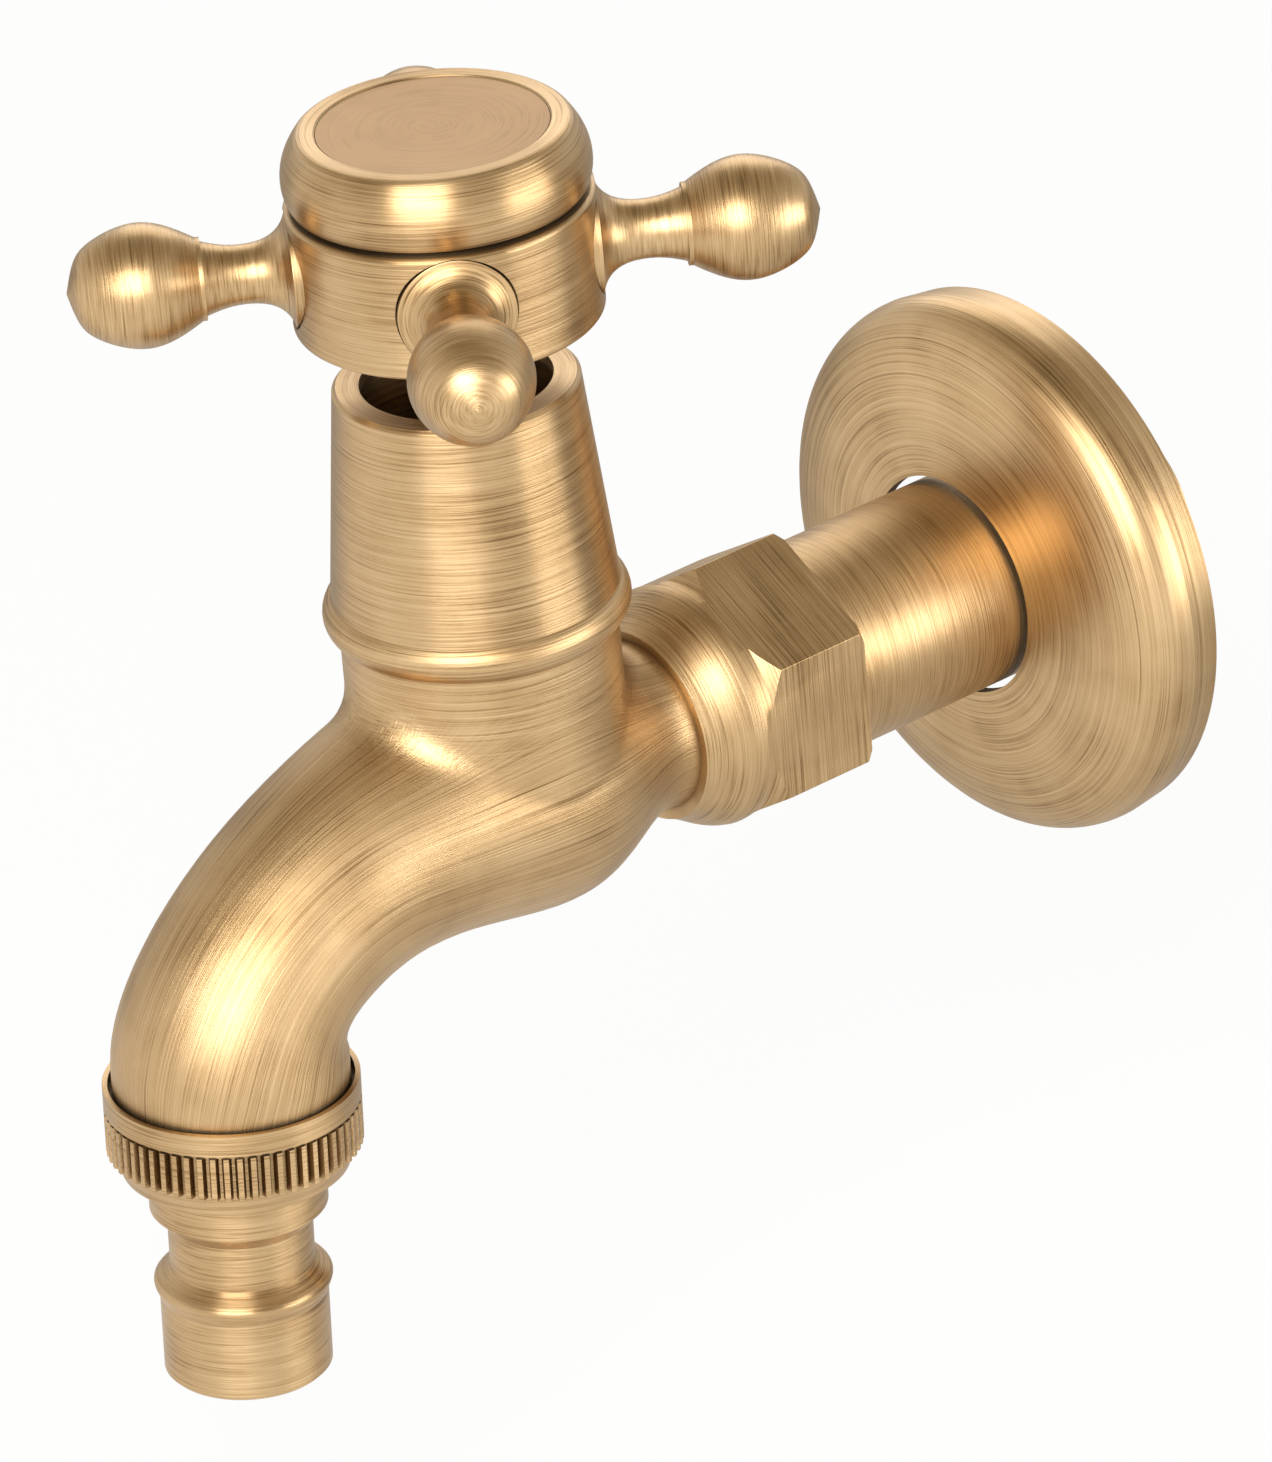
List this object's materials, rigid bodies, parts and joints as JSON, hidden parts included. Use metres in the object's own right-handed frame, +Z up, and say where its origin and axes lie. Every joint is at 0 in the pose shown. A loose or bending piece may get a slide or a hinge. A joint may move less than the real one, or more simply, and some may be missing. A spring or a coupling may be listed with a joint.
{
  "type": "wall-mounted tap",
  "caption": "Wall-mounted cross-head tap with a curved spout, threaded inlet, sliding wall flange and a hose nozzle on a knurled union nut.",
  "frame": {"origin": "on the inlet axis, in the plane of the wall", "axes": "+Y into the wall along the inlet, +Z up, X along the wall"},
  "size_m": [0.0592, 0.1257, 0.1156],
  "materials": {
    "brass": "brushed antique",
    "plain_brass": "machined",
    "rubber": "matte",
    "ceramic": "lapped ceramic",
    "steel": "plain",
    "plastic": "low friction"
  },
  "bodies": {
    "body": {"body_casting": "brass", "bell_cover": "brass", "headwork_gland": "plain_brass", "gland_seal": "rubber", "seat_seal": "rubber", "fixed_ceramic_disc": "ceramic"},
    "flange": {"wall_flange": "brass"},
    "handle": {"handle_hub": "brass", "arm_front": "brass", "arm_right": "brass", "arm_back": "brass", "arm_left": "brass", "handle_cap": "brass", "index_disc": "brass", "handle_screw": "steel", "screw_washer": "steel", "spindle": "plain_brass", "spindle_o_rings": "rubber", "spindle_circlip": "steel", "slip_washer": "plastic", "moving_ceramic_disc": "ceramic"},
    "nozzle": {"hose_nozzle": "brass", "nozzle_washer": "rubber"},
    "nut": {"union_nut": "brass"}
  },
  "joints": [
    {"name": "handle_turn", "type": "hinge", "parent": "body", "child": "handle", "pos_m": [0, -0.067, 0.05], "axis": [0, 0, 1], "range_deg": [0, 90]},
    {"name": "flange_slide", "type": "slide", "parent": "body", "child": "flange", "axis": [0, -1, 0], "range_m": [0, 0.016]},
    {"name": "nozzle_drop", "type": "slide", "parent": "body", "child": "nozzle", "axis": [0, -0.0489, -0.9988], "range_m": [0, 0.004]},
    {"name": "nut_turn", "type": "hinge", "parent": "nozzle", "child": "nut", "pos_m": [0, -0.10061, -0.01998], "axis": [0, -0.0489, -0.9988], "range_deg": [0, 796]}
  ],
  "couplings": [
    {"joint": "nut_turn", "follows": "nozzle_drop", "rad_per_m": 3463.7}
  ]
}
